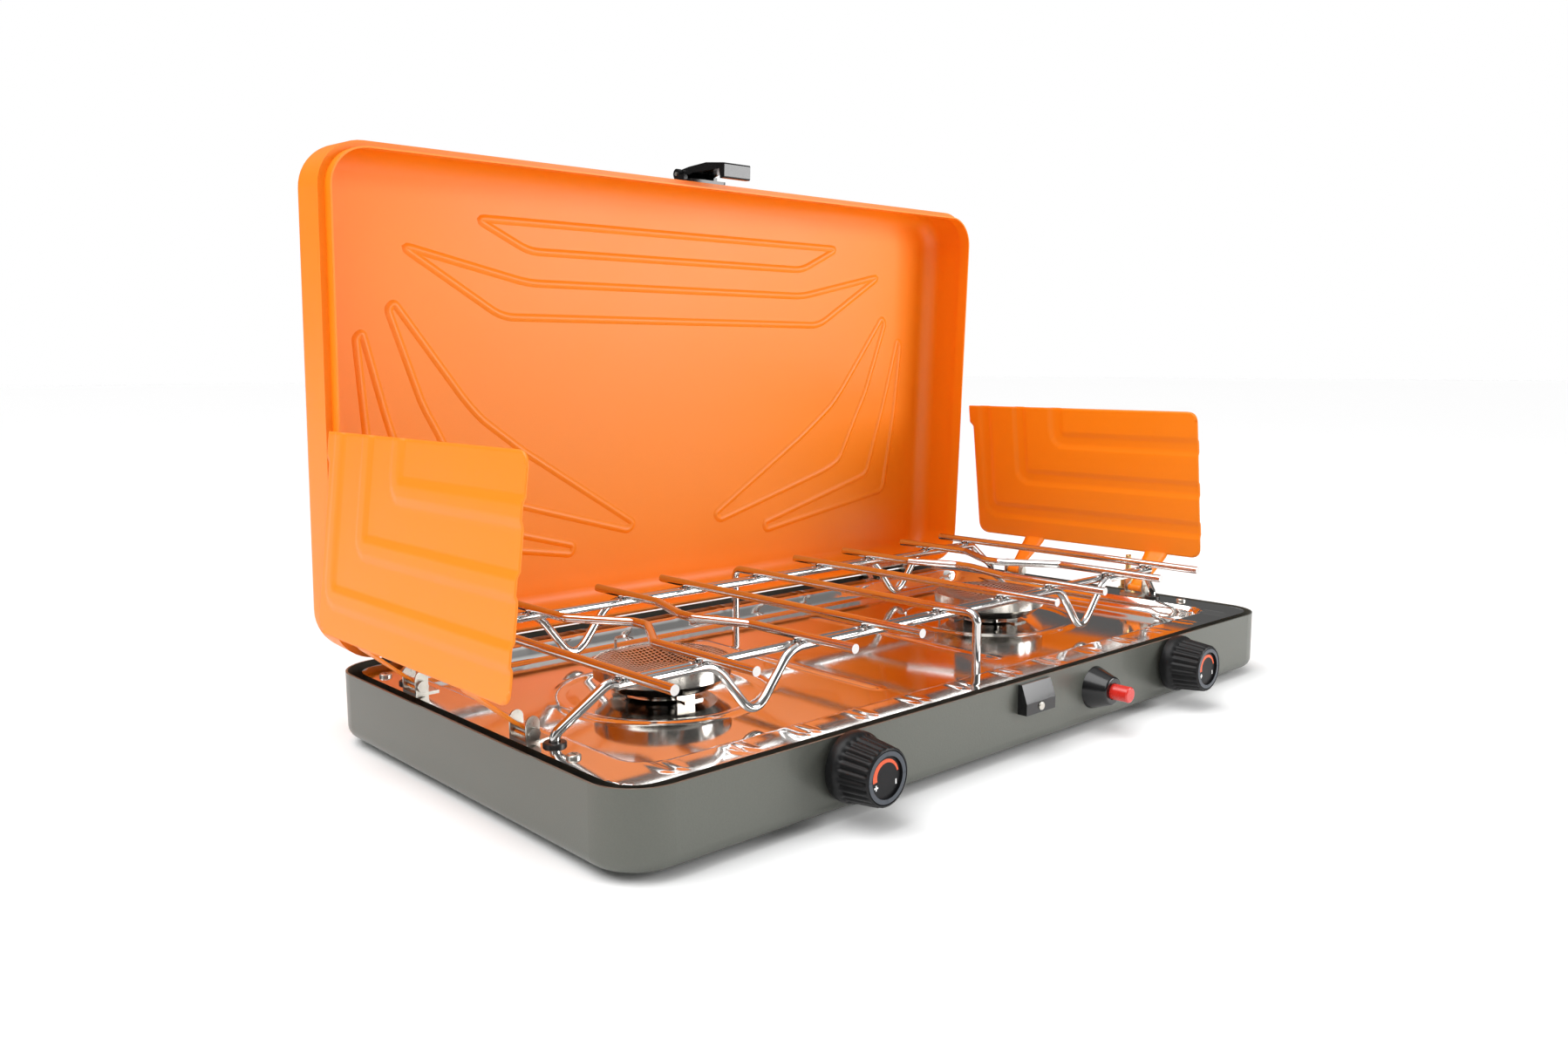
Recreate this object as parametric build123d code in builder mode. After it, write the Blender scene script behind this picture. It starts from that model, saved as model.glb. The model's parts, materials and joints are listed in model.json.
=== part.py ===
from build123d import *
import os
from math import atan2, cos, degrees, hypot, radians, sin

os.makedirs("parts", exist_ok=True)

# Two-burner folding gas stove, lid open. Millimetres, +Z up, +X to the cook's right, the cook
# stands on the -Y side. The origin is on the ground under the middle of the casing.

# Casing and drip pan
WIDTH = 540.0
DEPTH = 290.0
FOOT = 4.0
RIM_Z = 42.0
CORNER = 26.0
SHEET = 1.2
GROOVE = 8.0
BACK_GROOVE = 15.0
PAN_SHEET = 0.8
FLANGE = 19.0
PAN_FLOOR = 33.0
FRONT = -DEPTH / 2
INNER_FRONT = FRONT + SHEET

# Lid: a deep tray whose rim steps inwards to drop into the groove round the pan
LID_HEIGHT = 38.0
LID_SHEET = 1.0
RIM_STEP = 3.7
RIM_DEPTH = 8.0
LID_GAP = 0.5
LID_HINGE_Y = DEPTH / 2 - 2
LID_HINGE_Z = 46.5
LID_OPEN = 87.5
LID_HINGE_X = 190.0
LID_BASE_Z = RIM_Z + LID_GAP
LID_TOP_Z = LID_BASE_Z + LID_HEIGHT
KNUCKLE_R = 3.0
PIN_R = 1.6

# Windscreens: a plate that stands outboard of its hinge line, so that it folds flat over the grate
SCREEN_HINGE_X = 258.5
SCREEN_HINGE_Z = 46.3
SCREEN_OFFSET = 30.0
SCREEN_LOW = 19.6
SCREEN_HIGH = 128.4
SCREEN_LEAN = 7.0
SCREEN_SHEET = 1.0
SCREEN_FRONT = -86.0
SCREEN_BACK = 118.5
SCREEN_EAR = 3.5
SCREEN_EAR_HEIGHT = 14.0
BRACKET_YS = (-50.0, 61.0)
TONGUE_WIDTH = 11.0
SCREEN_KNUCKLE_R = 2.6
SCREEN_PIN_R = 1.5

# Burners, valves and gas line
BURNER_X = 144.0
BURNER_Y = -2.0
JOG_Y = 3.0
BURNER_R = 38.0
BURNER_TOP = 52.0
BURNER_BASE = 38.0
KNOB_Z = 27.0
KNOB_REACH = 26.0
LINE_Y = -131.0
LINE_Z = 15.0
LINE_R = 4.0
MIXER_Z = 17.0
MIXER_R = 8.5
INLET_Y = -31.0
INLET_X = 278.0
IGNITER_X = 60.0
IGNITER_Z = 26.0

# Grate
WIRE_R = 2.5
WIRE_Z = 72.0
RAIL_Z = WIRE_Z - 2 * WIRE_R
RAIL_YS = (-74.0, 82.0)
WIRE_FRONT = -118.0
WIRE_BACK = 110.0
WIRE_XS = (60.3, 110.8, 176.0, 223.3)
LEG_X = 253.0
LEG_YS = (-67.0, 80.0)
GROMMET_R = 5.5

SIDES = (("left", -1), ("right", 1))


def save(part, name):
    part.label = name
    export_step(part, f"parts/{name}.step")


def opened(part):
    """The lid and all on it are drawn shut, and swung up about the hinge line here."""
    axis = Axis((0, LID_HINGE_Y, LID_HINGE_Z), (1, 0, 0))
    return part.rotate(axis, -LID_OPEN)


def leaned(part, side):
    """A windscreen is drawn upright, and tipped inwards about its hinge line here."""
    axis = Axis((side * SCREEN_HINGE_X, 0, SCREEN_HINGE_Z), (0, 1, 0))
    return part.rotate(axis, -side * SCREEN_LEAN)


def front_plane(y):
    """A sketch plane facing the cook at this y: sketch x is X, sketch y is Z."""
    return Plane(origin=(0, y, 0), x_dir=(1, 0, 0), z_dir=(0, -1, 0))


def side_plane(x):
    """A sketch plane facing +X at this x: sketch x is Y, sketch y is Z."""
    return Plane(origin=(x, 0, 0), x_dir=(0, 1, 0), z_dir=(1, 0, 0))


# ---------------------------------------------------------------- casing

with BuildPart() as casing:
    with BuildSketch(Plane.XY.offset(FOOT)):
        RectangleRounded(WIDTH, DEPTH, CORNER)
    extrude(amount=RIM_Z - FOOT)
    fillet(casing.faces().sort_by(Axis.Z)[0].edges(), 7)
    offset(amount=-SHEET, openings=casing.faces().sort_by(Axis.Z)[-1])
    with BuildSketch(front_plane(FRONT - 1)):
        with Locations((-BURNER_X, KNOB_Z), (BURNER_X, KNOB_Z)):
            Circle(5.3)
        with Locations((IGNITER_X, IGNITER_Z)):
            Circle(6.3)
        with Locations((0, 28)):
            Circle(1.55)
    extrude(amount=-4, mode=Mode.SUBTRACT)
    with BuildSketch(side_plane(WIDTH / 2 + 1)):
        with Locations((INLET_Y, LINE_Z)):
            Circle(5.3)
    extrude(amount=-4, mode=Mode.SUBTRACT)
    with BuildSketch(front_plane(DEPTH / 2 + 1)):
        with Locations((-LID_HINGE_X, 30), (LID_HINGE_X, 30)):
            with GridLocations(26, 0, 2, 1):
                Circle(1.55)
    extrude(amount=4, mode=Mode.SUBTRACT)
save(casing.part, "casing")

with BuildPart() as rubber_feet:
    with BuildSketch():
        with GridLocations(440, 200, 2, 2):
            Circle(9)
    extrude(amount=FOOT)
    fillet(rubber_feet.edges().group_by(Axis.Z)[0], 1)
save(rubber_feet.part, "rubber_feet")

# ---------------------------------------------------------------- drip pan

PAN_W = WIDTH - 2 * GROOVE
PAN_BACK = DEPTH / 2 - BACK_GROOVE
PAN_D = PAN_BACK - FRONT - GROOVE
PAN_Y = (PAN_BACK + FRONT + GROOVE) / 2
WELL_W = PAN_W - 2 * FLANGE
WELL_D = DEPTH - 2 * GROOVE - 2 * FLANGE
WELL_SLOPE = 8.0
POSTS = [(x, y) for x in (-256.5, 256.5) for y in (-88.0, 102.0)]
LEGS = [(x, y) for x in (-LEG_X, LEG_X) for y in LEG_YS]


with BuildPart() as drip_pan:
    with BuildSketch(Plane.XY.offset(RIM_Z - 6)):
        with Locations((0, PAN_Y)):
            RectangleRounded(PAN_W, PAN_D, CORNER - GROOVE)
    extrude(amount=6)
    inner_corner = CORNER - GROOVE - PAN_SHEET
    with BuildSketch(Plane.XY.offset(RIM_Z - 6)):
        with Locations((0, PAN_Y)):
            RectangleRounded(PAN_W - 2 * PAN_SHEET, PAN_D - 2 * PAN_SHEET, inner_corner)
    extrude(amount=6 - PAN_SHEET, mode=Mode.SUBTRACT)
    for grow, top, floor, mode in (
        (2 * PAN_SHEET, RIM_Z - PAN_SHEET, PAN_FLOOR - PAN_SHEET, Mode.ADD),
        (0, RIM_Z, PAN_FLOOR, Mode.SUBTRACT),
    ):
        with BuildSketch(Plane.XY.offset(top)):
            RectangleRounded(WELL_W + grow, WELL_D + grow, 16)
        with BuildSketch(Plane.XY.offset(floor)):
            RectangleRounded(WELL_W - 2 * WELL_SLOPE + grow, WELL_D - 2 * WELL_SLOPE + grow, 10)
        loft(mode=mode)
    with BuildSketch(Plane.XY.offset(RIM_Z + 1)):
        with Locations((-BURNER_X, BURNER_Y), (BURNER_X, BURNER_Y)):
            Circle(MIXER_R + 1.5)
        with Locations((-BURNER_X, BURNER_Y + 45), (BURNER_X, BURNER_Y + 45)):
            Circle(3.4)
        with Locations(*LEGS):
            Circle(GROMMET_R - 1.5)
        with Locations(*POSTS):
            Circle(1.65)
    extrude(amount=-14, mode=Mode.SUBTRACT)
save(drip_pan.part, "drip_pan")

with BuildPart() as pan_posts:
    with BuildSketch(Plane.XY.offset(FOOT + SHEET)):
        with Locations(*POSTS):
            Circle(4)
            Circle(1.6, mode=Mode.SUBTRACT)
    extrude(amount=RIM_Z - PAN_SHEET - FOOT - SHEET)
save(pan_posts.part, "pan_posts")

with BuildPart() as pan_screws:
    with BuildSketch(Plane.XY.offset(RIM_Z)):
        with Locations(*POSTS):
            Circle(3.4)
    extrude(amount=1.8)
    fillet(pan_screws.edges().group_by(Axis.Z)[-1], 1.2)
    with BuildSketch(Plane.XY.offset(RIM_Z + 2)):
        with Locations(*POSTS):
            Rectangle(4, 0.9)
            Rectangle(0.9, 4)
    extrude(amount=-1.1, mode=Mode.SUBTRACT)
    with BuildSketch(Plane.XY.offset(RIM_Z)):
        with Locations(*POSTS):
            Circle(1.5)
    extrude(amount=-12)
save(pan_screws.part, "pan_screws")

with BuildPart() as leg_grommets:
    with BuildSketch(Plane.XY.offset(RIM_Z)):
        with Locations(*LEGS):
            Circle(GROMMET_R)
    extrude(amount=1.6)
    fillet(leg_grommets.edges().group_by(Axis.Z)[-1], 0.8)
    with BuildSketch(Plane.XY.offset(RIM_Z)):
        with Locations(*LEGS):
            Circle(GROMMET_R - 1.55)
    extrude(amount=-5)
    with BuildSketch(Plane.XY.offset(RIM_Z + 2)):
        with Locations(*LEGS):
            Circle(WIRE_R + 0.3)
    extrude(amount=-10, mode=Mode.SUBTRACT)
save(leg_grommets.part, "leg_grommets")

# ---------------------------------------------------------------- burners and gas train


def tube(points, outer, inner, bend):
    """A pipe along straight runs joined by arcs. The first run starts square to its section."""
    start = Vector(*points[0])
    towards = Vector(*points[1]) - start
    with BuildPart() as pipe:
        with BuildLine() as route:
            FilletPolyline(*points, radius=bend)
        with BuildSketch(Plane(origin=start, z_dir=towards)):
            Circle(outer)
        sweep(path=route.wires()[0])
        if inner:
            with BuildSketch(Plane(origin=start, z_dir=towards)):
                Circle(inner)
            sweep(path=route.wires()[0], mode=Mode.SUBTRACT)
    return pipe.part


for word, side in SIDES:
    x = side * BURNER_X

    with BuildPart() as burner_body:
        with BuildSketch(Plane(origin=(x, BURNER_Y, 0), x_dir=(1, 0, 0), z_dir=(0, -1, 0))):
            with BuildLine():
                Polyline(
                    (MIXER_R + 0.05, BURNER_BASE - 3),
                    (MIXER_R + 1.3, BURNER_BASE - 3),
                    (MIXER_R + 1.3, BURNER_BASE),
                    (30, BURNER_BASE),
                    (BURNER_R, BURNER_BASE + 6),
                    (BURNER_R, BURNER_TOP),
                    (BURNER_R - 1.4, BURNER_TOP),
                    (BURNER_R - 1.4, BURNER_BASE + 6.6),
                    (29.4, BURNER_BASE + 1.2),
                    (MIXER_R + 0.05, BURNER_BASE + 1.2),
                    close=True,
                )
            make_face()
        revolve(axis=Axis((x, BURNER_Y, 0), (0, 0, 1)))
    save(burner_body.part, f"{word}_burner_body")

    with BuildPart() as burner_cap:
        with BuildSketch(Plane(origin=(x, BURNER_Y, 0), x_dir=(1, 0, 0), z_dir=(0, -1, 0))):
            with BuildLine():
                Polyline(
                    (0, BURNER_TOP - 6),
                    (13, BURNER_TOP - 6),
                    (30, BURNER_TOP - 1),
                    (BURNER_R - 1.45, BURNER_TOP - 1),
                    (BURNER_R - 1.45, BURNER_TOP - 0.2),
                    (29.8, BURNER_TOP - 0.2),
                    (12.8, BURNER_TOP - 5.2),
                    (0, BURNER_TOP - 5.2),
                    close=True,
                )
            make_face()
        revolve(axis=Axis((x, BURNER_Y, 0), (0, 0, 1)))
    save(burner_cap.part, f"{word}_burner_cap")

    with BuildPart() as burner_supports:
        with BuildSketch(Plane.XY.offset(PAN_FLOOR)):
            with Locations((x, BURNER_Y)):
                with PolarLocations(24, 3, 30):
                    Rectangle(8, 12)
        extrude(amount=1)
        with BuildSketch(Plane.XY.offset(PAN_FLOOR)):
            with Locations((x, BURNER_Y)):
                with PolarLocations(20.5, 3, 30):
                    Rectangle(1, 12)
        extrude(amount=BURNER_BASE - PAN_FLOOR)
    save(burner_supports.part, f"{word}_burner_supports")

    mixer_route = [
        (x, -119, MIXER_Z),
        (x, BURNER_Y, MIXER_Z),
        (x, BURNER_Y, BURNER_BASE + 1),
    ]
    with BuildPart() as mixer:
        add(tube(mixer_route, MIXER_R, MIXER_R - 0.8, 14))
        with BuildSketch(side_plane(x - MIXER_R - 1)):
            with Locations((-108, MIXER_Z)):
                SlotOverall(14, 8)
        extrude(amount=2 * MIXER_R + 2, mode=Mode.SUBTRACT)
    save(mixer.part, f"{word}_mixer_tube")

    with BuildPart() as gas_valve:
        with BuildSketch(front_plane(-126)):
            with Locations((x, 21.5)):
                RectangleRounded(15, 24, 3)
        extrude(amount=17.5)
        with BuildSketch(front_plane(-143.5)):
            with Locations((x, KNOB_Z)):
                Circle(5)
        extrude(amount=6)
        with BuildSketch(front_plane(-150)):
            with Locations((x, KNOB_Z)):
                Circle(3.05)
        extrude(amount=-22, mode=Mode.SUBTRACT)
        with BuildSketch(side_plane(x - 10)):
            with Locations((LINE_Y, LINE_Z)):
                Circle(LINE_R + 0.02)
        extrude(amount=20, mode=Mode.SUBTRACT)
    save(gas_valve.part, f"{word}_gas_valve")

    with BuildPart() as valve_stem:
        with BuildSketch(front_plane(-128.5)):
            with Locations((x, KNOB_Z)):
                Circle(3)
        extrude(amount=39)
        with BuildSketch(front_plane(-153)):
            with Locations((x, KNOB_Z + 3.2)):
                Rectangle(8, 2)
        extrude(amount=15, mode=Mode.SUBTRACT)
    save(valve_stem.part, f"{word}_valve_stem")

    with BuildPart() as knob:
        with BuildSketch(front_plane(FRONT - 2)):
            with Locations((x, KNOB_Z)):
                Circle(17)
        with BuildSketch(front_plane(FRONT - KNOB_REACH)):
            with Locations((x, KNOB_Z)):
                Circle(14.6)
        loft()
        fillet(knob.faces().sort_by(Axis.Y)[0].edges(), 1.2)
        with BuildSketch(front_plane(FRONT - 2)):
            with Locations((x, KNOB_Z)):
                Circle(13.5)
        extrude(amount=6, mode=Mode.SUBTRACT)
        with BuildSketch(front_plane(FRONT - KNOB_REACH)):
            with Locations((x, KNOB_Z)):
                Circle(12.4)
        extrude(amount=-2.4, mode=Mode.SUBTRACT)
        with BuildSketch(front_plane(-128.5)):
            with Locations((x, KNOB_Z)):
                Circle(3)
                with Locations((0, 3.2)):
                    Rectangle(8, 2, mode=Mode.SUBTRACT)
        extrude(amount=39, mode=Mode.SUBTRACT)
    save(knob.part, f"{word}_knob")

    with BuildPart() as knob_ring:
        with BuildSketch(front_plane(FRONT - KNOB_REACH + 2.4)):
            with Locations((x, KNOB_Z)):
                Circle(12.35)
        extrude(amount=1)
        with BuildSketch(front_plane(FRONT - KNOB_REACH + 1.4)):
            with Locations((x, KNOB_Z)):
                Circle(12.35)
                Circle(10, mode=Mode.SUBTRACT)
        extrude(amount=1.2)
    save(knob_ring.part, f"{word}_knob_dial")

BURNER_POINTS = ((-BURNER_X, MIXER_Z), (BURNER_X, MIXER_Z))
ELECTRODES = ((-BURNER_X, BURNER_Y + 45), (BURNER_X, BURNER_Y + 45))

with BuildPart() as jets:
    with BuildSketch(front_plane(-126)):
        with Locations(*BURNER_POINTS):
            RegularPolygon(4, 6)
    extrude(amount=-4)
    with BuildSketch(front_plane(-122)):
        with Locations(*BURNER_POINTS):
            Circle(2.4)
    extrude(amount=-5)
    with BuildSketch(front_plane(-127)):
        with Locations(*BURNER_POINTS):
            Circle(0.4)
    extrude(amount=-11, mode=Mode.SUBTRACT)
save(jets.part, "gas_jets")

with BuildPart() as electrode_insulators:
    with BuildSketch(Plane.XY.offset(24)):
        with Locations(*ELECTRODES):
            Circle(3.3)
    extrude(amount=17)
    with BuildSketch(Plane.XY.offset(PAN_FLOOR)):
        with Locations(*ELECTRODES):
            Circle(4.6)
    extrude(amount=2)
save(electrode_insulators.part, "electrode_insulators")

with BuildPart() as electrode_pins:
    for x, y in ELECTRODES:
        add(tube([(x, y, 41), (x, y, 56), (x, y - 9, 58.5)], 0.8, 0, 3))
save(electrode_pins.part, "electrode_pins")

line_route = [
    (-BURNER_X - 12, LINE_Y, LINE_Z),
    (243, LINE_Y, LINE_Z),
    (243, INLET_Y, LINE_Z),
    (264, INLET_Y, LINE_Z),
]
with BuildPart() as gas_line:
    add(tube(line_route, LINE_R, 3, 12))
    with BuildSketch(side_plane(-BURNER_X - 12)):
        with Locations((LINE_Y, LINE_Z)):
            Circle(LINE_R)
    extrude(amount=2)
save(gas_line.part, "gas_line")

with BuildPart() as gas_inlet:
    with BuildSketch(side_plane(264)):
        with Locations((INLET_Y, LINE_Z)):
            Circle(5.2)
    extrude(amount=INLET_X - 264)
    with BuildSketch(side_plane(WIDTH / 2 + 0.05)):
        with Locations((INLET_Y, LINE_Z)):
            RegularPolygon(6.2, 6)
    extrude(amount=2.4)
    with BuildSketch(Plane.XY.offset(7)):
        with Locations((INLET_X, INLET_Y)):
            Circle(6)
    extrude(amount=31)
    with BuildSketch(Plane.XY.offset(38)):
        with Locations((INLET_X, INLET_Y)):
            RegularPolygon(6.9, 6)
    extrude(amount=4)
    with BuildSketch(Plane.XY.offset(42)):
        with Locations((INLET_X, INLET_Y)):
            Circle(5.5)
    extrude(amount=9)
    chamfer(gas_inlet.edges().group_by(Axis.Z)[-1], 0.8)
    with BuildSketch(Plane.XY.offset(51)):
        with Locations((INLET_X, INLET_Y)):
            Circle(2.1)
    extrude(amount=16)
    fillet(gas_inlet.edges().group_by(Axis.Z)[-1], 0.8)
save(gas_inlet.part, "gas_inlet")

# ---------------------------------------------------------------- igniter

with BuildPart() as igniter_bezel:
    with BuildSketch(front_plane(FRONT)):
        with Locations((IGNITER_X, IGNITER_Z)):
            Circle(12.5)
    with BuildSketch(front_plane(FRONT - 13)):
        with Locations((IGNITER_X, IGNITER_Z)):
            Circle(8)
    loft()
    fillet(igniter_bezel.faces().sort_by(Axis.Y)[0].edges(), 1.5)
    with BuildSketch(front_plane(FRONT + 8)):
        with Locations((IGNITER_X, IGNITER_Z)):
            Circle(6.2)
    extrude(amount=8)
    with BuildSketch(front_plane(FRONT + 8)):
        with Locations((IGNITER_X, IGNITER_Z)):
            Circle(4.9)
    extrude(amount=22, mode=Mode.SUBTRACT)
save(igniter_bezel.part, "igniter_bezel")

with BuildPart() as piezo_unit:
    with BuildSketch(front_plane(FRONT + 32)):
        with Locations((IGNITER_X, IGNITER_Z)):
            Circle(6.6)
    extrude(amount=24)
    fillet(piezo_unit.faces().sort_by(Axis.Y)[-1].edges(), 1)
    with BuildSketch(front_plane(FRONT + 13.5)):
        with Locations((IGNITER_X, IGNITER_Z)):
            Circle(4.9)
    extrude(amount=5.5, mode=Mode.SUBTRACT)
save(piezo_unit.part, "piezo_unit")

with BuildPart() as igniter_nut:
    with BuildSketch(front_plane(INNER_FRONT + 3)):
        with Locations((IGNITER_X, IGNITER_Z)):
            RegularPolygon(7.6, 6)
            Circle(6.25, mode=Mode.SUBTRACT)
    extrude(amount=3)
save(igniter_nut.part, "igniter_nut")

with BuildPart() as igniter_button:
    with BuildSketch(front_plane(FRONT + 6)):
        with Locations((IGNITER_X, IGNITER_Z)):
            Circle(4.6)
    extrude(amount=30)
    fillet(igniter_button.faces().sort_by(Axis.Y)[0].edges(), 1)
save(igniter_button.part, "igniter_button")

for word, side in SIDES:
    lead_route = [
        (IGNITER_X + side * 3.6, FRONT + 32, IGNITER_Z),
        (IGNITER_X + side * 3.6, -100, IGNITER_Z),
        (IGNITER_X + side * 3.6, -90, 20),
        (side * 105, -60, 20),
        (side * 105, 20, 20),
        (side * BURNER_X, BURNER_Y + 45, 20),
        (side * BURNER_X, BURNER_Y + 45, 24),
    ]
    save(tube(lead_route, 1.1, 0, 1.9), f"{word}_ignition_lead")

# ---------------------------------------------------------------- grate


def wire(points, name, bend):
    """A round wire with square-cut ends along a route of straight runs and arcs."""
    save(tube(points, WIRE_R, 0, bend), name)


LEG_FOOT = PAN_FLOOR + 4
RAIL_END = 229.0
V_REACH = 24.0

for place, rail_y, leg_y, out in (
    ("front", RAIL_YS[0], LEG_YS[0], -1),
    ("back", RAIL_YS[1], LEG_YS[1], 1),
):
    wire(
        [
            (-LEG_X, leg_y, LEG_FOOT),
            (-LEG_X, leg_y, 47),
            (-RAIL_END, rail_y, RAIL_Z),
            (RAIL_END, rail_y, RAIL_Z),
            (LEG_X, leg_y, 47),
            (LEG_X, leg_y, LEG_FOOT),
        ],
        f"grate_{place}_rail",
        6,
    )
    v_y = rail_y + out * 2 * WIRE_R
    v_low = PAN_FLOOR + WIRE_R + 0.4
    v_route = [(-RAIL_END + 2, v_y, RAIL_Z)]
    for burner in (-BURNER_X, BURNER_X):
        v_route += [
            (burner - V_REACH, v_y, RAIL_Z),
            (burner, v_y, v_low),
            (burner + V_REACH, v_y, RAIL_Z),
        ]
    v_route += [(RAIL_END - 2, v_y, RAIL_Z)]
    wire(v_route, f"grate_{place}_stay", 5)

STRAIGHT = (WIRE_XS[0], WIRE_XS[3])
JOGGED = (("inner", WIRE_XS[1], 12.0), ("outer", WIRE_XS[2], 22.0))

with BuildPart() as straight_wires:
    with BuildSketch(front_plane(WIRE_BACK)):
        for x in STRAIGHT:
            with Locations((-x, WIRE_Z), (x, WIRE_Z)):
                Circle(WIRE_R)
    extrude(amount=WIRE_BACK - WIRE_FRONT)
save(straight_wires.part, "grate_straight_wires")

for place, distance, jog in JOGGED:
    with BuildPart() as jogged_wires:
        for x in (-distance, distance):
            burner = BURNER_X if x > 0 else -BURNER_X
            towards = jog if burner > x else -jog
            jogged_route = [
                (x, WIRE_FRONT, WIRE_Z),
                (x, JOG_Y - 42, WIRE_Z),
                (x + towards, JOG_Y - 6, WIRE_Z),
                (x + towards, JOG_Y + 6, WIRE_Z),
                (x, JOG_Y + 42, WIRE_Z),
                (x, WIRE_BACK, WIRE_Z),
            ]
            add(tube(jogged_route, WIRE_R, 0, 7))
    save(jogged_wires.part, f"grate_{place}_jogged_wires")

wire(
    [
        (0, -106, PAN_FLOOR + 0.4),
        (0, -106, WIRE_Z),
        (0, 106, WIRE_Z),
        (0, 106, PAN_FLOOR + 0.4),
    ],
    "grate_centre_wire",
    6,
)

# ---------------------------------------------------------------- windscreens and their hinges

for word, side in SIDES:
    hinge_x = side * SCREEN_HINGE_X
    plate_x = hinge_x + side * SCREEN_OFFSET
    low = SCREEN_HINGE_Z + SCREEN_LOW
    high = SCREEN_HINGE_Z + SCREEN_HIGH
    slope = degrees(atan2(SCREEN_LOW, SCREEN_OFFSET))
    reach = hypot(SCREEN_LOW, SCREEN_OFFSET)
    with BuildPart() as windscreen:
        with BuildSketch(side_plane(plate_x - SCREEN_SHEET / 2)):
            with BuildLine():
                FilletPolyline(
                    (SCREEN_FRONT, low),
                    (SCREEN_FRONT, high),
                    (SCREEN_BACK + SCREEN_EAR, high),
                    (SCREEN_BACK + SCREEN_EAR, high - SCREEN_EAR_HEIGHT),
                    (SCREEN_BACK, high - SCREEN_EAR_HEIGHT - 3),
                    (SCREEN_BACK, low),
                    radius=[8, 0.8, 1, 1, 9, 3],
                    close=True,
                )
            make_face()
        extrude(amount=SCREEN_SHEET)
        for y in BRACKET_YS:
            with BuildSketch(Plane.XZ.offset(-y - TONGUE_WIDTH / 2)):
                with BuildLine():
                    Polyline(
                        (hinge_x + side * 1.2, SCREEN_HINGE_Z + 2.2),
                        (plate_x - side * 0.4, low + 0.4),
                        (plate_x - side * 0.4, low + 2),
                        (plate_x + side * 0.5, low + 2),
                        (plate_x + side * 0.5, low - 0.4),
                        (hinge_x + side * 2, SCREEN_HINGE_Z + 1.2),
                        close=True,
                    )
                make_face()
                with Locations((hinge_x, SCREEN_HINGE_Z)):
                    Circle(SCREEN_KNUCKLE_R)
                    Circle(SCREEN_PIN_R + 0.08, mode=Mode.SUBTRACT)
            extrude(amount=TONGUE_WIDTH)
    save(leaned(windscreen.part, side), f"{word}_windscreen")

    with BuildPart() as brackets:
        for y in BRACKET_YS:
            with BuildSketch(Plane.XY.offset(RIM_Z)):
                with Locations((hinge_x - side * 3, y)):
                    Rectangle(13, 15.4)
            extrude(amount=0.9)
            for ear in (y - 7.7, y + 6.7):
                with BuildSketch(Plane.XZ.offset(-ear - 1)):
                    with Locations((hinge_x, RIM_Z)):
                        Rectangle(7, 9, align=(Align.CENTER, Align.MIN))
                    with Locations((hinge_x, RIM_Z + 9)):
                        Circle(3.5)
                    with Locations((hinge_x, SCREEN_HINGE_Z)):
                        Circle(SCREEN_PIN_R + 0.02, mode=Mode.SUBTRACT)
                extrude(amount=1)
    save(brackets.part, f"{word}_screen_brackets")

    with BuildPart() as hinge_screws:
        for y in BRACKET_YS:
            with BuildSketch(Plane.XZ.offset(-y - 9.2)):
                with Locations((hinge_x, SCREEN_HINGE_Z)):
                    Circle(SCREEN_PIN_R)
            extrude(amount=16.9 + 1.5)
            with BuildSketch(Plane.XZ.offset(-y + 7.7)):
                with Locations((hinge_x, SCREEN_HINGE_Z)):
                    Circle(3)
            extrude(amount=1.6)
    save(hinge_screws.part, f"{word}_screen_hinge_screws")

# ---------------------------------------------------------------- lid


def block(inset, base, height, rounding):
    """A lid-sized block inset all round, with a rounded top edge where rounding isn't zero."""
    with BuildPart() as solid:
        with BuildSketch(Plane.XY.offset(base)):
            RectangleRounded(WIDTH - 2 * inset, DEPTH - 2 * inset, CORNER - inset)
        extrude(amount=height)
        if rounding:
            fillet(solid.faces().sort_by(Axis.Z)[-1].edges(), rounding)
    return solid.part


LID_ROUND = 13.0
RIM_Z0 = LID_BASE_Z - RIM_DEPTH
RIM_INSET = RIM_STEP + LID_SHEET

with BuildPart() as lid_shell:
    add(block(0, LID_BASE_Z, LID_HEIGHT, LID_ROUND))
    add(block(RIM_STEP, RIM_Z0, RIM_DEPTH, 0))
    add(block(RIM_INSET, RIM_Z0, RIM_DEPTH + LID_SHEET, 0), mode=Mode.SUBTRACT)
    ceiling = LID_HEIGHT - 2 * LID_SHEET
    add(block(LID_SHEET, LID_BASE_Z + LID_SHEET, ceiling, LID_ROUND - LID_SHEET), mode=Mode.SUBTRACT)
    with BuildSketch(front_plane(DEPTH / 2 + 1)):
        with Locations((-LID_HINGE_X, RIM_Z0 - 1), (LID_HINGE_X, RIM_Z0 - 1)):
            Rectangle(52, LID_HINGE_Z + 7 - RIM_Z0, align=(Align.CENTER, Align.MIN))
        with Locations((-LID_HINGE_X, LID_HINGE_Z + 15), (LID_HINGE_X, LID_HINGE_Z + 15)):
            with GridLocations(26, 0, 2, 1):
                Circle(1.55)
    extrude(amount=7, mode=Mode.SUBTRACT)
save(opened(lid_shell.part), "lid_shell")


def knuckles(spans):
    """Hinge knuckles along the lid's hinge line, given each one's middle and length."""
    with BuildPart() as rolled:
        for centre in (-LID_HINGE_X, LID_HINGE_X):
            for middle, length in spans:
                with BuildSketch(side_plane(centre + middle - length / 2)):
                    with Locations((LID_HINGE_Y, LID_HINGE_Z)):
                        Circle(KNUCKLE_R)
                        Circle(PIN_R + 0.05, mode=Mode.SUBTRACT)
                extrude(amount=length)
    return rolled.part


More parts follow.
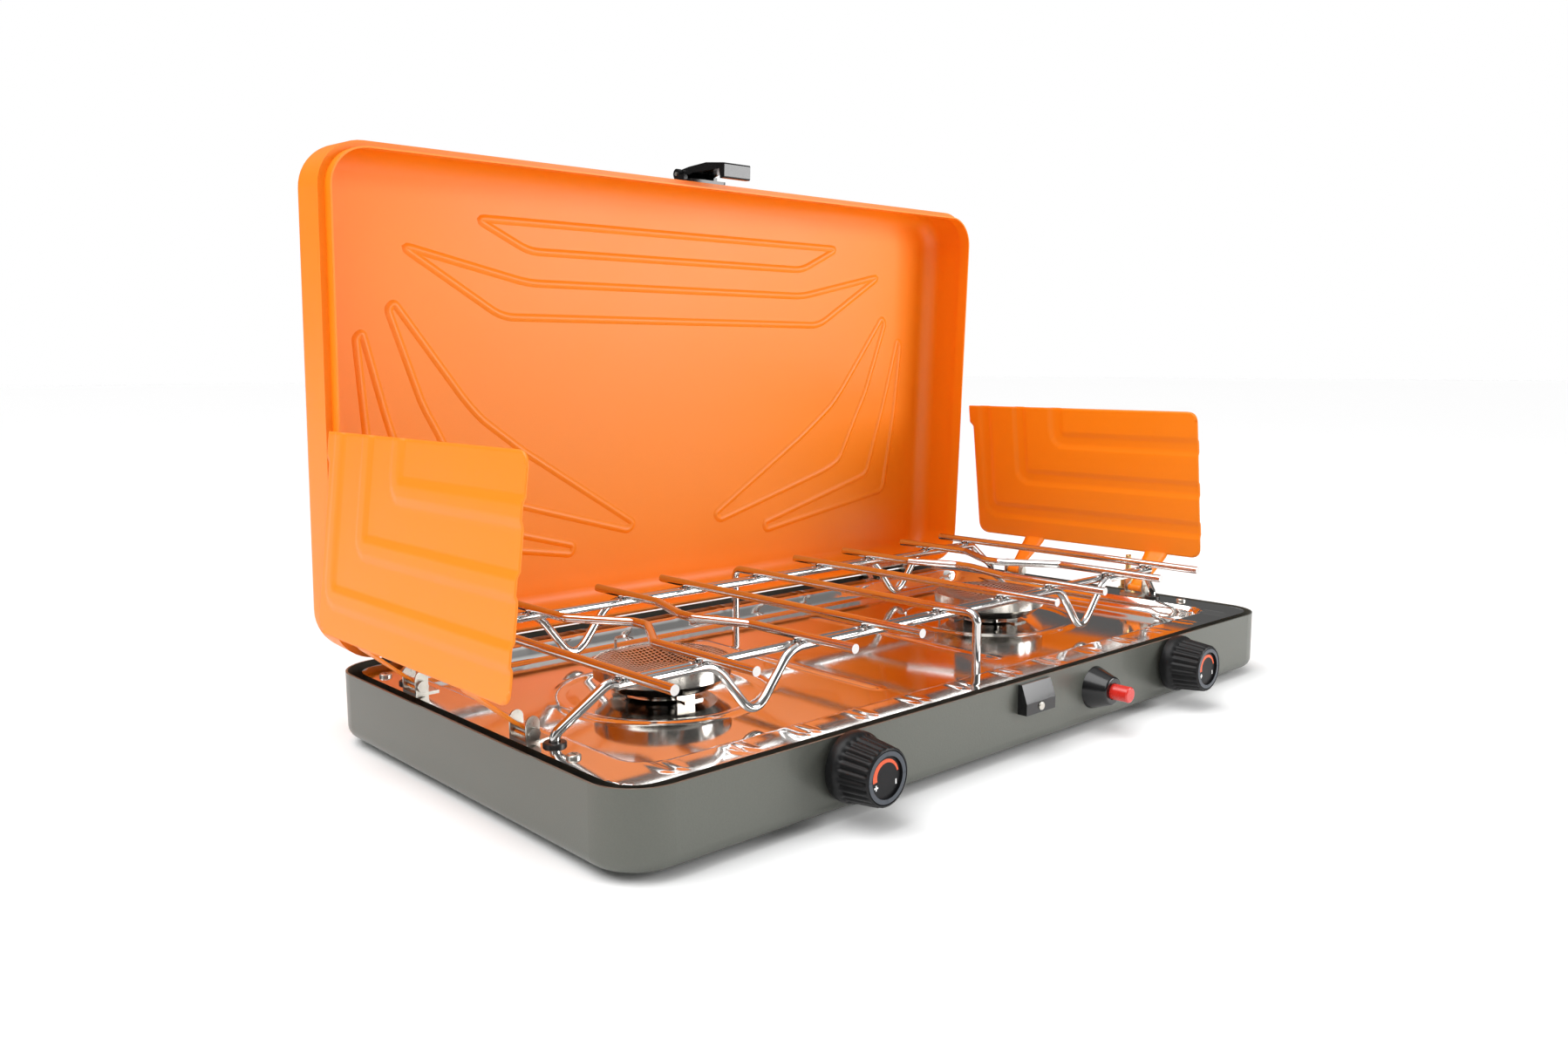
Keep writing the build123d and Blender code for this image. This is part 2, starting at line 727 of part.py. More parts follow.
with BuildPart() as base_hinges:
    add(knuckles([(0, 13.6)]))
    with BuildSketch(front_plane(DEPTH / 2 + 1)):
        with Locations((-LID_HINGE_X, 33), (LID_HINGE_X, 33)):
            with Locations((0, 1)):
                Rectangle(13.6, 24)
            with Locations((0, -3)):
                Rectangle(40, 14)
            with Locations((-13, -3), (13, -3)):
                Circle(1.55, mode=Mode.SUBTRACT)
    extrude(amount=1)
save(base_hinges.part, "hinge_leaves_casing")

with BuildPart() as base_rivets:
    with BuildSketch(front_plane(DEPTH / 2 + 1)):
        with Locations((-LID_HINGE_X, 30), (LID_HINGE_X, 30)):
            with GridLocations(26, 0, 2, 1):
                Circle(2.8)
    extrude(amount=-1.2)
    fillet(base_rivets.edges().group_by(Axis.Y)[-1], 0.9)
    with BuildSketch(front_plane(DEPTH / 2 + 1)):
        with Locations((-LID_HINGE_X, 30), (LID_HINGE_X, 30)):
            with GridLocations(26, 0, 2, 1):
                Circle(1.5)
    extrude(amount=3)
save(base_rivets.part, "hinge_rivets_casing")

with BuildPart() as lid_hinges:
    add(knuckles([(-13.5, 12.6), (13.5, 12.6)]))
    with BuildSketch(front_plane(DEPTH / 2 + 1)):
        with Locations((-LID_HINGE_X, LID_HINGE_Z), (LID_HINGE_X, LID_HINGE_Z)):
            with Locations((-13.5, 6), (13.5, 6)):
                Rectangle(12.6, 12)
            with Locations((0, 15)):
                Rectangle(39.6, 12)
            with Locations((-13, 15), (13, 15)):
                Circle(1.55, mode=Mode.SUBTRACT)
    extrude(amount=1)
save(opened(lid_hinges.part), "hinge_leaves_lid")

with BuildPart() as lid_rivets:
    with BuildSketch(front_plane(DEPTH / 2 + 1)):
        with Locations((-LID_HINGE_X, LID_HINGE_Z + 15), (LID_HINGE_X, LID_HINGE_Z + 15)):
            with GridLocations(26, 0, 2, 1):
                Circle(2.8)
    extrude(amount=-1.2)
    fillet(lid_rivets.edges().group_by(Axis.Y)[-1], 0.9)
    with BuildSketch(front_plane(DEPTH / 2 + 1)):
        with Locations((-LID_HINGE_X, LID_HINGE_Z + 15), (LID_HINGE_X, LID_HINGE_Z + 15)):
            with GridLocations(26, 0, 2, 1):
                Circle(1.5)
    extrude(amount=2.8)
save(opened(lid_rivets.part), "hinge_rivets_lid")

STOP_ARM = 12.0
STOP_HALF = 2.2
STOP_TILT = radians(45)

with BuildPart() as hinge_pins:
    for centre in (-LID_HINGE_X, LID_HINGE_X):
        with BuildSketch(side_plane(centre - 25.4)):
            with Locations((LID_HINGE_Y, LID_HINGE_Z)):
                Circle(PIN_R)
        extrude(amount=50.8)
save(hinge_pins.part, "lid_hinge_pins")

STOP_BAR_Y = LID_HINGE_Y - 16.8
STOP_BAR_Z = LID_HINGE_Z - 24.9
STOP_BAR_R = 4.5

with BuildPart() as stop_arms:
    elbow_y = LID_HINGE_Y - STOP_ARM * sin(STOP_TILT)
    elbow_z = LID_HINGE_Z - STOP_ARM * cos(STOP_TILT)
    shank = hypot(elbow_y - STOP_BAR_Y, elbow_z - STOP_BAR_Z)
    slope = degrees(atan2(elbow_z - STOP_BAR_Z, elbow_y - STOP_BAR_Y))
    for x in (-LID_HINGE_X, LID_HINGE_X):
        for start in (x - 25.2, x + 20.2):
            with BuildSketch(side_plane(start)):
                with Locations((LID_HINGE_Y, LID_HINGE_Z)):
                    Circle(4)
                with Locations(((LID_HINGE_Y + elbow_y) / 2, (LID_HINGE_Z + elbow_z) / 2)):
                    SlotCenterToCenter(STOP_ARM, 2 * STOP_HALF, rotation=45)
                with Locations(((elbow_y + STOP_BAR_Y) / 2, (elbow_z + STOP_BAR_Z) / 2)):
                    SlotCenterToCenter(shank, 2 * STOP_HALF, rotation=slope)
                with Locations((LID_HINGE_Y, LID_HINGE_Z)):
                    Circle(PIN_R, mode=Mode.SUBTRACT)
            extrude(amount=5)
    bar_end = LID_HINGE_X - 25.2
    with BuildSketch(side_plane(-bar_end)):
        with Locations((STOP_BAR_Y, STOP_BAR_Z)):
            Circle(STOP_BAR_R)
    extrude(amount=2 * bar_end)
save(stop_arms.part, "lid_stop_arms")

# ---------------------------------------------------------------- latch

PIVOT_Y = FRONT - 6.5
PIVOT_Z = 64.0

with BuildPart() as latch_base:
    with BuildSketch(front_plane(FRONT)):
        with Locations((0, 57)):
            RectangleRounded(30, 22, 2)
    extrude(amount=2.5)
    for x in (-14.5, 11.5):
        with BuildSketch(side_plane(x)):
            with Locations((FRONT - 3, PIVOT_Z - 3)):
                Rectangle(6, 11)
            with Locations((PIVOT_Y, PIVOT_Z)):
                Circle(3.5)
                Circle(1.32, mode=Mode.SUBTRACT)
        extrude(amount=3)
save(opened(latch_base.part), "latch_base")

with BuildPart() as latch_pin:
    with BuildSketch(side_plane(-15)):
        with Locations((PIVOT_Y, PIVOT_Z)):
            Circle(1.3)
    extrude(amount=30)
save(opened(latch_pin.part), "latch_pin")

with BuildPart() as latch_lever:
    with BuildSketch(side_plane(-11.2)):
        with BuildLine():
            Polyline(
                (PIVOT_Y - 2.4, PIVOT_Z + 3),
                (PIVOT_Y + 2.4, PIVOT_Z + 3),
                (PIVOT_Y + 3.4, PIVOT_Z - 1.5),
                (FRONT - 7, 50),
                (FRONT - 7.5, 22),
                (FRONT - 1.2, 21),
                (FRONT - 1.2, 16.5),
                (FRONT - 11, 16.5),
                (FRONT - 12.5, 36),
                (FRONT - 11, 54),
                close=True,
            )
        make_face()
        with Locations((PIVOT_Y, PIVOT_Z)):
            Circle(1.36, mode=Mode.SUBTRACT)
    extrude(amount=22.4)
    fillet(latch_lever.edges().filter_by(Axis.X).sort_by(Axis.Z)[0:2], 1.2)
save(opened(latch_lever.part), "latch_lever")

with BuildPart() as latch_keeper:
    with BuildSketch(side_plane(-13)):
        with BuildLine():
            Polyline(
                (FRONT, 24.5),
                (FRONT, 41),
                (FRONT - 2.5, 41),
                (FRONT - 6, 31),
                (FRONT - 6, 24.5),
                close=True,
            )
        make_face()
    extrude(amount=26)
    with BuildSketch(front_plane(FRONT - 7)):
        with Locations((0, 28)):
            Circle(1.55)
    extrude(amount=-9, mode=Mode.SUBTRACT)
save(latch_keeper.part, "latch_keeper")

with BuildPart() as keeper_rivet:
    with BuildSketch(front_plane(FRONT - 6)):
        with Locations((0, 28)):
            Circle(2.4)
    extrude(amount=0.9)
    fillet(keeper_rivet.edges().group_by(Axis.Y)[0], 0.6)
    with BuildSketch(front_plane(FRONT - 6)):
        with Locations((0, 28)):
            Circle(1.5)
    extrude(amount=-8)
save(keeper_rivet.part, "keeper_rivet")
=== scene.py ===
import json
import math

import bpy
import numpy as np
from mathutils import Matrix, Vector
from mathutils.geometry import delaunay_2d_cdt


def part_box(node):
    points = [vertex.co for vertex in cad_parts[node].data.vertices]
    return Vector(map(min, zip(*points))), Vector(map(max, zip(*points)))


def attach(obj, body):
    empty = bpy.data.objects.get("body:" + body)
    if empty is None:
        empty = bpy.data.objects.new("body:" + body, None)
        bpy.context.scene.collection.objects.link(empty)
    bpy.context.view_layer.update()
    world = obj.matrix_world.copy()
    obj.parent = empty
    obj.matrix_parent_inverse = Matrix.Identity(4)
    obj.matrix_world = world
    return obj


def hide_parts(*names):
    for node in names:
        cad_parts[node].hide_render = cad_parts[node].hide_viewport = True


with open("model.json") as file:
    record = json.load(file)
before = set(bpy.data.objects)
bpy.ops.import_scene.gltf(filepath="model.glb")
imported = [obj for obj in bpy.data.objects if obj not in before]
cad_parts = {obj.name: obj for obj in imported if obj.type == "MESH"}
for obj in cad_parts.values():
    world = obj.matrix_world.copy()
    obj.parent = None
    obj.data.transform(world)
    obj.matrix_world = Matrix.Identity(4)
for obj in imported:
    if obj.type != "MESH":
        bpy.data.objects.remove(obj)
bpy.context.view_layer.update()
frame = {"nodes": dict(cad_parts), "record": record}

NODES = frame["nodes"]
JOINTS = {j["name"]: j for j in frame["record"]["behaviour"]["joints"]}
MM = 0.001
SIDES = (-1, 1)
scene = bpy.context.scene


# ---------------------------------------------------------------- materials

NOISE_LOW, NOISE_HIGH = 0.3, 0.7    # the range that most of a noise texture's values lie in
SMOOTHEST = 0.02                    # lowest roughness
SWELL_HEIGHT = 0.0006
# near-black painted into each burner-cap hole: painted shade standing in for the dark inside of the holes
PAINTED_HOLE_SHADE = (0.015, 0.013, 0.012, 1)
HOLE_EDGE = 0.08                    # width of a hole's blurred edge, in pitches
DIMPLE_DEPTH = 0.0004


def material(name, color, metallic=0.0, rough=0.4, spread=0.08, grain=2500.0, bump=0.15,
             depth=0.00004, shade=0.06, cloud=9.0, coat=0.0, wavy=0.0, wave_size=45.0, gloss=0.5):
    """A surface whose colour, roughness and height vary a little, by a fine and a broad noise.

    spread and shade say how far roughness and colour vary, grain and cloud are the two noises' scales,
    bump and depth are the fine unevenness, and wavy and wave_size a slow swell of the sheet.
    """
    mat = bpy.data.materials.new(name)
    mat.use_nodes = True
    nodes, links = mat.node_tree.nodes, mat.node_tree.links
    bsdf = nodes["Principled BSDF"]
    bsdf.inputs["Metallic"].default_value = metallic
    bsdf.inputs["Coat Weight"].default_value = coat
    bsdf.inputs["Specular IOR Level"].default_value = gloss
    place = nodes.new("ShaderNodeTexCoord")

    def noise(scale, detail):
        node = nodes.new("ShaderNodeTexNoise")
        node.inputs["Scale"].default_value = scale
        node.inputs["Detail"].default_value = detail
        links.new(place.outputs["Object"], node.inputs["Vector"])
        return node.outputs["Fac"]

    fine, broad = noise(grain, 2.0), noise(cloud, 4.0)
    ramp = nodes.new("ShaderNodeValToRGB")
    dark, light = ramp.color_ramp.elements
    dark.position, light.position = NOISE_LOW, NOISE_HIGH
    dark.color = (*[c * (1 - shade) for c in color], 1)
    light.color = (*[min(1, c * (1 + shade)) for c in color], 1)
    blend = nodes.new("ShaderNodeMath")
    blend.operation = "MULTIPLY_ADD"
    blend.inputs[1].default_value = 0.5
    links.new(fine, blend.inputs[0])
    half = nodes.new("ShaderNodeMath")
    half.operation = "MULTIPLY"
    half.inputs[1].default_value = 0.5
    links.new(broad, half.inputs[0])
    links.new(half.outputs[0], blend.inputs[2])
    links.new(blend.outputs[0], ramp.inputs["Fac"])
    links.new(ramp.outputs["Color"], bsdf.inputs["Base Color"])
    spanned = nodes.new("ShaderNodeMapRange")
    spanned.inputs["From Min"].default_value = NOISE_LOW
    spanned.inputs["From Max"].default_value = NOISE_HIGH
    spanned.inputs["To Min"].default_value = max(SMOOTHEST, rough - spread)
    spanned.inputs["To Max"].default_value = rough + spread
    links.new(blend.outputs[0], spanned.inputs["Value"])
    links.new(spanned.outputs["Result"], bsdf.inputs["Roughness"])
    uneven = nodes.new("ShaderNodeBump")
    uneven.inputs["Strength"].default_value = bump
    uneven.inputs["Distance"].default_value = depth
    links.new(fine, uneven.inputs["Height"])
    last = uneven
    if wavy:
        swell = nodes.new("ShaderNodeBump")
        swell.inputs["Strength"].default_value = wavy
        swell.inputs["Distance"].default_value = SWELL_HEIGHT
        links.new(noise(wave_size, 1.0), swell.inputs["Height"])
        links.new(uneven.outputs["Normal"], swell.inputs["Normal"])
        last = swell
    links.new(last.outputs["Normal"], bsdf.inputs["Normal"])
    return mat


def perforated(name, color, pitch, hole):
    """Bright steel with a close pattern of round holes seen from above, each hole painted near-black as
    painted shade for its dark inside; hole is a radius in pitches.
    """
    mat = material(name, color, metallic=1.0, rough=0.3, spread=0.1, grain=1800, bump=0.2)
    nodes, links = mat.node_tree.nodes, mat.node_tree.links
    bsdf = nodes["Principled BSDF"]
    place = nodes.new("ShaderNodeTexCoord")
    cells = nodes.new("ShaderNodeTexVoronoi")
    cells.voronoi_dimensions = "2D"
    cells.inputs["Scale"].default_value = 1 / pitch
    cells.inputs["Randomness"].default_value = 0.0
    links.new(place.outputs["Object"], cells.inputs["Vector"])
    edge = nodes.new("ShaderNodeMapRange")
    edge.inputs["From Min"].default_value = hole
    edge.inputs["From Max"].default_value = hole + HOLE_EDGE
    links.new(cells.outputs["Distance"], edge.inputs["Value"])
    # the holes take the painted shade colour, mixed in over the steel's own colour
    mix = nodes.new("ShaderNodeMix")
    mix.data_type = "RGBA"
    mix.inputs[6].default_value = PAINTED_HOLE_SHADE
    old = bsdf.inputs["Base Color"].links[0].from_socket
    links.new(edge.outputs["Result"], mix.inputs[0])
    links.new(old, mix.inputs[7])
    links.new(mix.outputs[2], bsdf.inputs["Base Color"])
    dimple = nodes.new("ShaderNodeBump")
    dimple.inputs["Strength"].default_value = 0.8
    dimple.inputs["Distance"].default_value = DIMPLE_DEPTH
    links.new(edge.outputs["Result"], dimple.inputs["Height"])
    links.new(bsdf.inputs["Normal"].links[0].from_socket, dimple.inputs["Normal"])
    links.new(dimple.outputs["Normal"], bsdf.inputs["Normal"])
    return mat


LOOKS = {
    "casing_paint": dict(color=(0.125, 0.13, 0.112), metallic=0.45, rough=0.36, spread=0.06, grain=1300,
                         bump=0.9, depth=0.00008, coat=0.1),
    "orange_paint": dict(color=(0.98, 0.25, 0.002), rough=0.42, spread=0.05, grain=2200, bump=0.5,
                         shade=0.03),
    "polished_steel": dict(color=(0.74, 0.73, 0.71), metallic=1.0, rough=0.07, spread=0.03, grain=1500,
                           bump=0.04, shade=0.03, wavy=0.12, wave_size=24),
    "wire_chrome": dict(color=(0.62, 0.61, 0.60), metallic=1.0, rough=0.11, spread=0.05, grain=900,
                        bump=0.1, wavy=0.08, wave_size=160),
    "zinc": dict(color=(0.56, 0.54, 0.49), metallic=1.0, rough=0.3, grain=1600, bump=0.2),
    "black_plastic": dict(color=(0.004, 0.004, 0.0045), rough=0.2, spread=0.06, grain=1800, bump=0.12,
                          coat=0.1),
    "knob_plastic": dict(color=(0.006, 0.006, 0.0065), rough=0.4, grain=2400, bump=0.3, gloss=0.25),
    "dial_print": dict(color=(0.008, 0.008, 0.009), rough=0.42, spread=0.06, grain=2000, gloss=0.2),
    "red_plastic": dict(color=(0.62, 0.02, 0.012), rough=0.25, spread=0.06, grain=1500, bump=0.1, coat=0.4),
    "brass": dict(color=(0.72, 0.52, 0.22), metallic=1.0, rough=0.28, grain=1400, bump=0.2),
    "rubber": dict(color=(0.02, 0.02, 0.02), rough=0.6, grain=2200, bump=0.4),
    "burner_steel": dict(color=(0.5, 0.48, 0.45), metallic=1.0, rough=0.16, spread=0.06, grain=1400,
                         bump=0.12),
    "ceramic": dict(color=(0.85, 0.83, 0.77), rough=0.3, spread=0.06, grain=1200, bump=0.1, coat=0.3),
    "ring_grey": dict(color=(0.055, 0.065, 0.08), metallic=0.2, rough=0.35, spread=0.05, grain=2200),
    "mark_white": dict(color=(0.85, 0.85, 0.84), spread=0.05, grain=2200, bump=0.1),
    "mark_red": dict(color=(0.80, 0.10, 0.02), spread=0.05, grain=2200, bump=0.1),
    "grommet": dict(color=(0.015, 0.015, 0.015), rough=0.35, grain=1800, bump=0.2),
}
MATS = {kind: material(f"{kind}_look", **look) for kind, look in LOOKS.items()}
MATS["perforated"] = perforated("perforated_look", (0.62, 0.61, 0.58), pitch=0.0026, hole=0.33)


def slot_kinds(node):
    """The CAD material's name in each of a node's slots."""
    return [slot.material.name.split(".")[0] if slot.material else "" for slot in node.material_slots]


# All names are read before any slot changes, because two nodes may share one mesh.
kinds = {name: slot_kinds(node) for name, node in NODES.items()}
for name, node in NODES.items():
    for slot, kind in zip(node.material_slots, kinds[name]):
        slot.material = MATS.get(kind, MATS["zinc"])
for word in ("left", "right"):
    NODES[f"{word}_burner_cap"].material_slots[0].material = MATS["perforated"]
NODES["leg_grommets"].material_slots[0].material = MATS["grommet"]


# ---------------------------------------------------------------- shape helpers

def rounded(points, radius, closed=True, steps=6):
    """A polyline's corners turned into short arcs. Radius is one number or one for each corner."""
    pts = [np.array(p, float) for p in points]
    radii = radius if isinstance(radius, (list, tuple)) else [radius] * len(pts)
    out = []
    for i, p in enumerate(pts):
        if not closed and i in (0, len(pts) - 1):
            out.append(p)
            continue
        a, b = pts[i - 1] - p, pts[(i + 1) % len(pts)] - p
        la, lb = np.linalg.norm(a), np.linalg.norm(b)
        cut = min(radii[i], 0.48 * la, 0.48 * lb)
        start, end = p + a / la * cut, p + b / lb * cut
        for k in range(steps + 1):
            t = k / steps
            out.append((1 - t) ** 2 * start + 2 * t * (1 - t) * p + t * t * end)
    return np.array(out)


def divided(loop, step, closed=True):
    """A polyline with points added so that none are further apart than a step."""
    ends = np.roll(loop, -1, axis=0) if closed else loop[1:]
    out = []
    for a, b in zip(loop, ends):
        n = max(1, int(math.ceil(np.linalg.norm(b - a) / step)))
        out += [a + (b - a) * k / n for k in range(n)]
    if not closed:
        out.append(loop[-1])
    return np.array(out)


def within(loop, pts):
    """Which of the points are inside a closed loop."""
    x, y = pts[:, 0], pts[:, 1]
    hit = np.zeros(len(pts), bool)
    for (x1, y1), (x2, y2) in zip(loop, np.roll(loop, -1, axis=0)):
        if y1 == y2:
            continue
        cross = ((y1 > y) != (y2 > y)) & (x < (x2 - x1) * (y - y1) / (y2 - y1) + x1)
        hit ^= cross
    return hit


def away(path, pts, closed=False):
    """Distance of each point from a polyline."""
    ends = np.roll(path, -1, axis=0) if closed else path[1:]
    best = np.full(len(pts), 1e9)
    for a, b in zip(path, ends):
        ab = b - a
        t = np.clip(((pts - a) @ ab) / max(1e-12, ab @ ab), 0, 1)
        best = np.minimum(best, np.linalg.norm(pts - a - t[:, None] * ab, axis=1))
    return best


def smooth(t):
    """A soft step from 0 to 1."""
    t = np.clip(t, 0, 1)
    return t * t * (3 - 2 * t)


def mesh_piece(name, verts, faces, kind, body, thickness=0.0, sharp=40):
    """A mesh on a body. Edges bent by more than sharp degrees stay sharp, and 0 keeps none."""
    mesh = bpy.data.meshes.new(name)
    mesh.from_pydata([tuple(v) for v in verts], [], faces)
    mesh.update()
    mesh.shade_smooth()
    if sharp:
        mesh.set_sharp_from_angle(angle=math.radians(sharp))
    obj = bpy.data.objects.new(name, mesh)
    scene.collection.objects.link(obj)
    mesh.materials.append(MATS[kind])
    if thickness:
        mod = obj.modifiers.new("sheet", "SOLIDIFY")
        mod.thickness = thickness
        mod.offset = 0.0
    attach(obj, body)
    return obj


def sheet_faces(outline, holes, step):
    """Flat triangles that fill an outline with holes, their corners about a step apart."""
    loops = [divided(np.array(outline, float), step)]
    loops += [divided(np.array(h, float), step) for h in holes]
    low, high = loops[0].min(0), loops[0].max(0)
    columns = np.arange(low[0] + step / 2, high[0], step)
    rows = np.arange(low[1] + step / 2, high[1], step)
    gx, gy = np.meshgrid(columns, rows)
    grid = np.stack([gx.ravel(), gy.ravel()], 1)
    keep = within(loops[0], grid)
    for h in loops[1:]:
        keep &= ~within(h, grid)
    grid = grid[keep]
    for h in loops:
        grid = grid[away(h, grid, True) > 0.45 * step]
    verts = [Vector(p) for p in np.concatenate(loops + [grid])]
    edges, base = [], 0
    for h in loops:
        edges += [(base + i, base + (i + 1) % len(h)) for i in range(len(h))]
        base += len(h)
    out = delaunay_2d_cdt(verts, edges, [], 0, 1e-7)
    pts, tris = np.array([tuple(p) for p in out[0]]), np.array(out[2])
    mid = pts[tris].mean(1)
    ok = within(loops[0], mid)
    for h in loops[1:]:
        ok &= ~within(h, mid)
    return pts, tris[ok].tolist()


def circle(x, y, r, n=24):
    turns = [2 * math.pi * k / n for k in range(n)]
    return [(x + r * math.cos(a), y + r * math.sin(a)) for a in turns]


def bead(name, paths, width, height, place, kind, body, sink=0.25, step=3.0, samples=11):
    """Pressed ribs along closed or open paths on a surface; place turns (u, v, rise) into metres."""
    verts, faces = [], []
    across = np.linspace(-1, 1, samples)
    rise = height * (0.5 + 0.5 * np.cos(np.pi * across)) ** 0.8 - sink * (np.abs(across) > 0.95)
    for path, closed in paths:
        line = divided(path, step, closed)
        if closed:
            ahead, behind = np.roll(line, -1, axis=0), np.roll(line, 1, axis=0)
        else:
            ahead, behind = np.vstack([line[1:], line[-1:]]), np.vstack([line[:1], line[:-1]])
        tangent = ahead - behind
        tangent /= np.linalg.norm(tangent, axis=1)[:, None]
        normal = np.stack([-tangent[:, 1], tangent[:, 0]], 1)
        base, n, m = len(verts), len(line), len(across)
        for i, p in enumerate(line):
            for a, h in zip(across, rise):
                q = p + normal[i] * a * width / 2
                verts.append(place(q[0], q[1], h))
        for i in range(n if closed else n - 1):
            j = (i + 1) % n
            for k in range(m - 1):
                here, there = base + i * m + k, base + j * m + k
                faces.append((here, here + 1, there + 1, there))
    return mesh_piece(name, verts, faces, kind, body, sharp=0)


# ---------------------------------------------------------------- lid: pressed ribs in its panel

AXIS_Y, AXIS_Z = [c / MM for c in JOINTS["lid_swing"]["pos_m"][1:]]
OPEN = math.radians(87.5)
LID_ALONG = np.array([0, -math.cos(OPEN), math.sin(OPEN)])    # from the hinge to the lid's free edge
LID_OUT = np.array([0, math.sin(OPEN), math.cos(OPEN)])       # from the lid's mouth to its panel
CEILING = 33.0                                                # the panel's inner face, from the axis
RIB_WIDTH, RIB_HEIGHT = 6.0, 1.1

# Corners are (distance from the lid's middle, distance from the hinge axis).
TOP_RIB = [(-158, 255), (158, 255), (120, 237), (-120, 237)]
SECOND_RIB = [(-208, 236), (-121, 217), (121, 217), (208, 236), (140, 195), (-140, 195)]
V_RIB = [(212, 202), (167, 143), (156, 131), (126, 109), (37, 53), (42, 48),
         (150, 79), (167, 86), (186, 124), (195, 140), (216, 198)]
OUTER_RIB = [(232, 184), (219, 135), (200, 73), (87, 42), (89, 36), (221, 58), (231, 121), (236, 181)]


def on_lid(x, d, rise):
    """A point on the lid's panel, raised from it towards the lid's mouth, in metres."""
    return (np.array([x, AXIS_Y, AXIS_Z]) + d * LID_ALONG + (CEILING - rise) * LID_OUT) * MM


ribs = [(rounded(TOP_RIB, 8), True), (rounded(SECOND_RIB, 9), True)]
for side in SIDES:
    for corners, radius in ((V_RIB, 7), (OUTER_RIB, 6)):
        ribs.append((rounded([(side * x, d) for x, d in corners], radius), True))
bead("lid_panel_ribs", ribs, RIB_WIDTH, RIB_HEIGHT, on_lid, "orange_paint", "lid")

# ---------------------------------------------------------------- windscreens: pressed sheets

HINGE_X, HINGE_Z = 258.5, 46.3
LEAN = math.radians(7)            # how far an open screen leans outward
OFF = 30.0                        # the plate's distance from the plane through its hinge
LOW, HIGH = 19.6, 128.4           # the plate's edges, up along the screen from its hinge
FRONT_Y, BACK_Y = -86.0, 118.5
EAR, EAR_H = 3.5, 14.0            # the small ear at the plate's upper back corner
BANDS = ((41, 106), (70.5, 71.5), (102, 36))    # height of each raised band, and where it turns up
BAND_HEIGHT, BAND_HALF_WIDTH, BAND_EDGE = 1.2, 5.8, 1.6
SHEET = 0.9
TONGUES = (-50.0, 61.0)
TONGUE_ROOT, TONGUE_TIP = 18.4, 11.0    # a tongue's width at the plate and at its roll
ROLL_RADIUS = 2.1


def on_screen(side, y, v, o):
    """A point from its place along the hinge, up the screen and out of it, in metres."""
    out = np.array([side * math.cos(LEAN), 0, math.sin(LEAN)])
    up = np.array([-side * math.sin(LEAN), 0, math.cos(LEAN)])
    return (np.array([side * HINGE_X, 0, HINGE_Z]) + o * out + v * up) * MM + np.array([0, y * MM, 0])


def tongue_line():
    """The middle line of a tongue, as (out, up, width): off the plate, down to the hinge, round its screw."""
    line = [(OFF, LOW + 7, 19), (OFF, LOW + 1.2, 19), (OFF - 1.2, LOW - 0.2, 18.6)]
    for t in (0.1, 0.3, 0.5, 0.7, 0.9, 1.0):
        width = TONGUE_ROOT - (TONGUE_ROOT - TONGUE_TIP) * smooth(t)
        line.append((OFF + (2.6 - OFF) * t, LOW + (2.0 - LOW) * t, width))
    for k in range(1, 15):
        a = math.radians(38 + 21 * k)
        line.append((ROLL_RADIUS * math.cos(a), ROLL_RADIUS * math.sin(a), TONGUE_TIP))
    return line


def windscreen(word, side):
    outline = rounded([(FRONT_Y, LOW), (FRONT_Y, HIGH), (BACK_Y + EAR, HIGH), (BACK_Y + EAR, HIGH - EAR_H),
                       (BACK_Y, HIGH - EAR_H - 3), (BACK_Y, LOW)], [8, 8, 1, 1, 1.5, 10])
    pts, tris = sheet_faces(outline, [], 2.0)
    rise = np.zeros(len(pts))
    for v, y in BANDS:
        path = rounded([(FRONT_Y - 20, v), (y, v), (y, HIGH + 20)], 9, False)
        rise = np.maximum(rise, BAND_HEIGHT * smooth((BAND_HALF_WIDTH - away(path, pts)) / BAND_EDGE))
    verts = [on_screen(side, y, v, OFF + h) for (y, v), h in zip(pts, rise)]
    faces = list(tris)
    line = tongue_line()
    across = 4
    for y in TONGUES:
        base = len(verts)
        for o, v, w in line:
            for k in range(across + 1):
                verts.append(on_screen(side, y + w * (k / across - 0.5), v, o))
        for i in range(len(line) - 1):
            for k in range(across):
                a = base + i * (across + 1) + k
                faces.append((a, a + 1, a + across + 2, a + across + 1))
    piece = mesh_piece(f"{word}_windscreen_sheet", verts, faces, "orange_paint",
                       f"{word}_screen", SHEET * MM, sharp=50)
    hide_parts(f"{word}_windscreen")


windscreen("left", -1)
windscreen("right", 1)

# ---------------------------------------------------------------- drip pan: pressed, polished sheet

RIM, FLOOR, BURNER_X, BURNER_Y = 42.0, 33.0, 144.0, -2.0
PAN_X, PAN_FRONT, PAN_BACK, PAN_CORNER = 263.6, -138.6, 130, 19
TROUGH_X, TROUGH_Y, TROUGH_CORNER = 243.0, 118.0, 16    # where the flange bends down to the floor
SLOPE = 8.4
BURNER_HOLE, ELECTRODE_HOLE, ELECTRODE_BACK = 10, 3.4, 45
LEG_HOLE, LEG_X, LEG_Y = 4, 253, (-67, 80)
SCREW_HOLE, SCREW_X, SCREW_Y = 1.65, 256.5, (-88, 102)
PAN_STEP = 1.9
FLANGE_RIB, FLANGE_RIB_STEP = 0.28, 39
LIP_DROPS = (0.8, 6.0)    # the bend and the lower edge of the turned-down lip, below the rim


def ridge(distance, height, width):
    """The rise of a rounded ridge at a distance from its middle line."""
    return height * np.exp(-(distance / width) ** 2)


